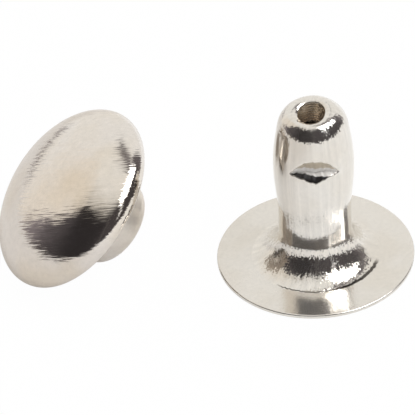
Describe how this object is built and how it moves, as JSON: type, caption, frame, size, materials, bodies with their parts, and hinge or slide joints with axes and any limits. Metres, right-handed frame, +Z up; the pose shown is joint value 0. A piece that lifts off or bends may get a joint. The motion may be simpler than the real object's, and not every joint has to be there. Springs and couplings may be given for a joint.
{
  "type": "hollow rivet",
  "caption": "Two-part hollow rivet: a tubular post on a flange, with an open rounded nose and pressed notches, and a domed cap with a socket lying beside it.",
  "frame": {"origin": "centre of the underside of the post's flange, on the plane that the post and the cap rest on", "axes": "+Z up along the post's axis from flange to nose; +X from the cap, which lies on the -X side, to the post; -Y is the side that the first pressed notch faces"},
  "size_m": [0.0189, 0.0101, 0.0083],
  "materials": {
    "post_plate": "bright nickel plate on thin drawn steel, with fine draw lines along the shank",
    "cap_plate": "bright nickel plate, lightly brushed across the crown",
    "socket_plate": "bright nickel plate on a drawn eyelet"
  },
  "bodies": {
    "root": {"post": "post_plate", "cap_shell": "cap_plate", "cap_socket": "socket_plate"}
  },
  "joints": []
}
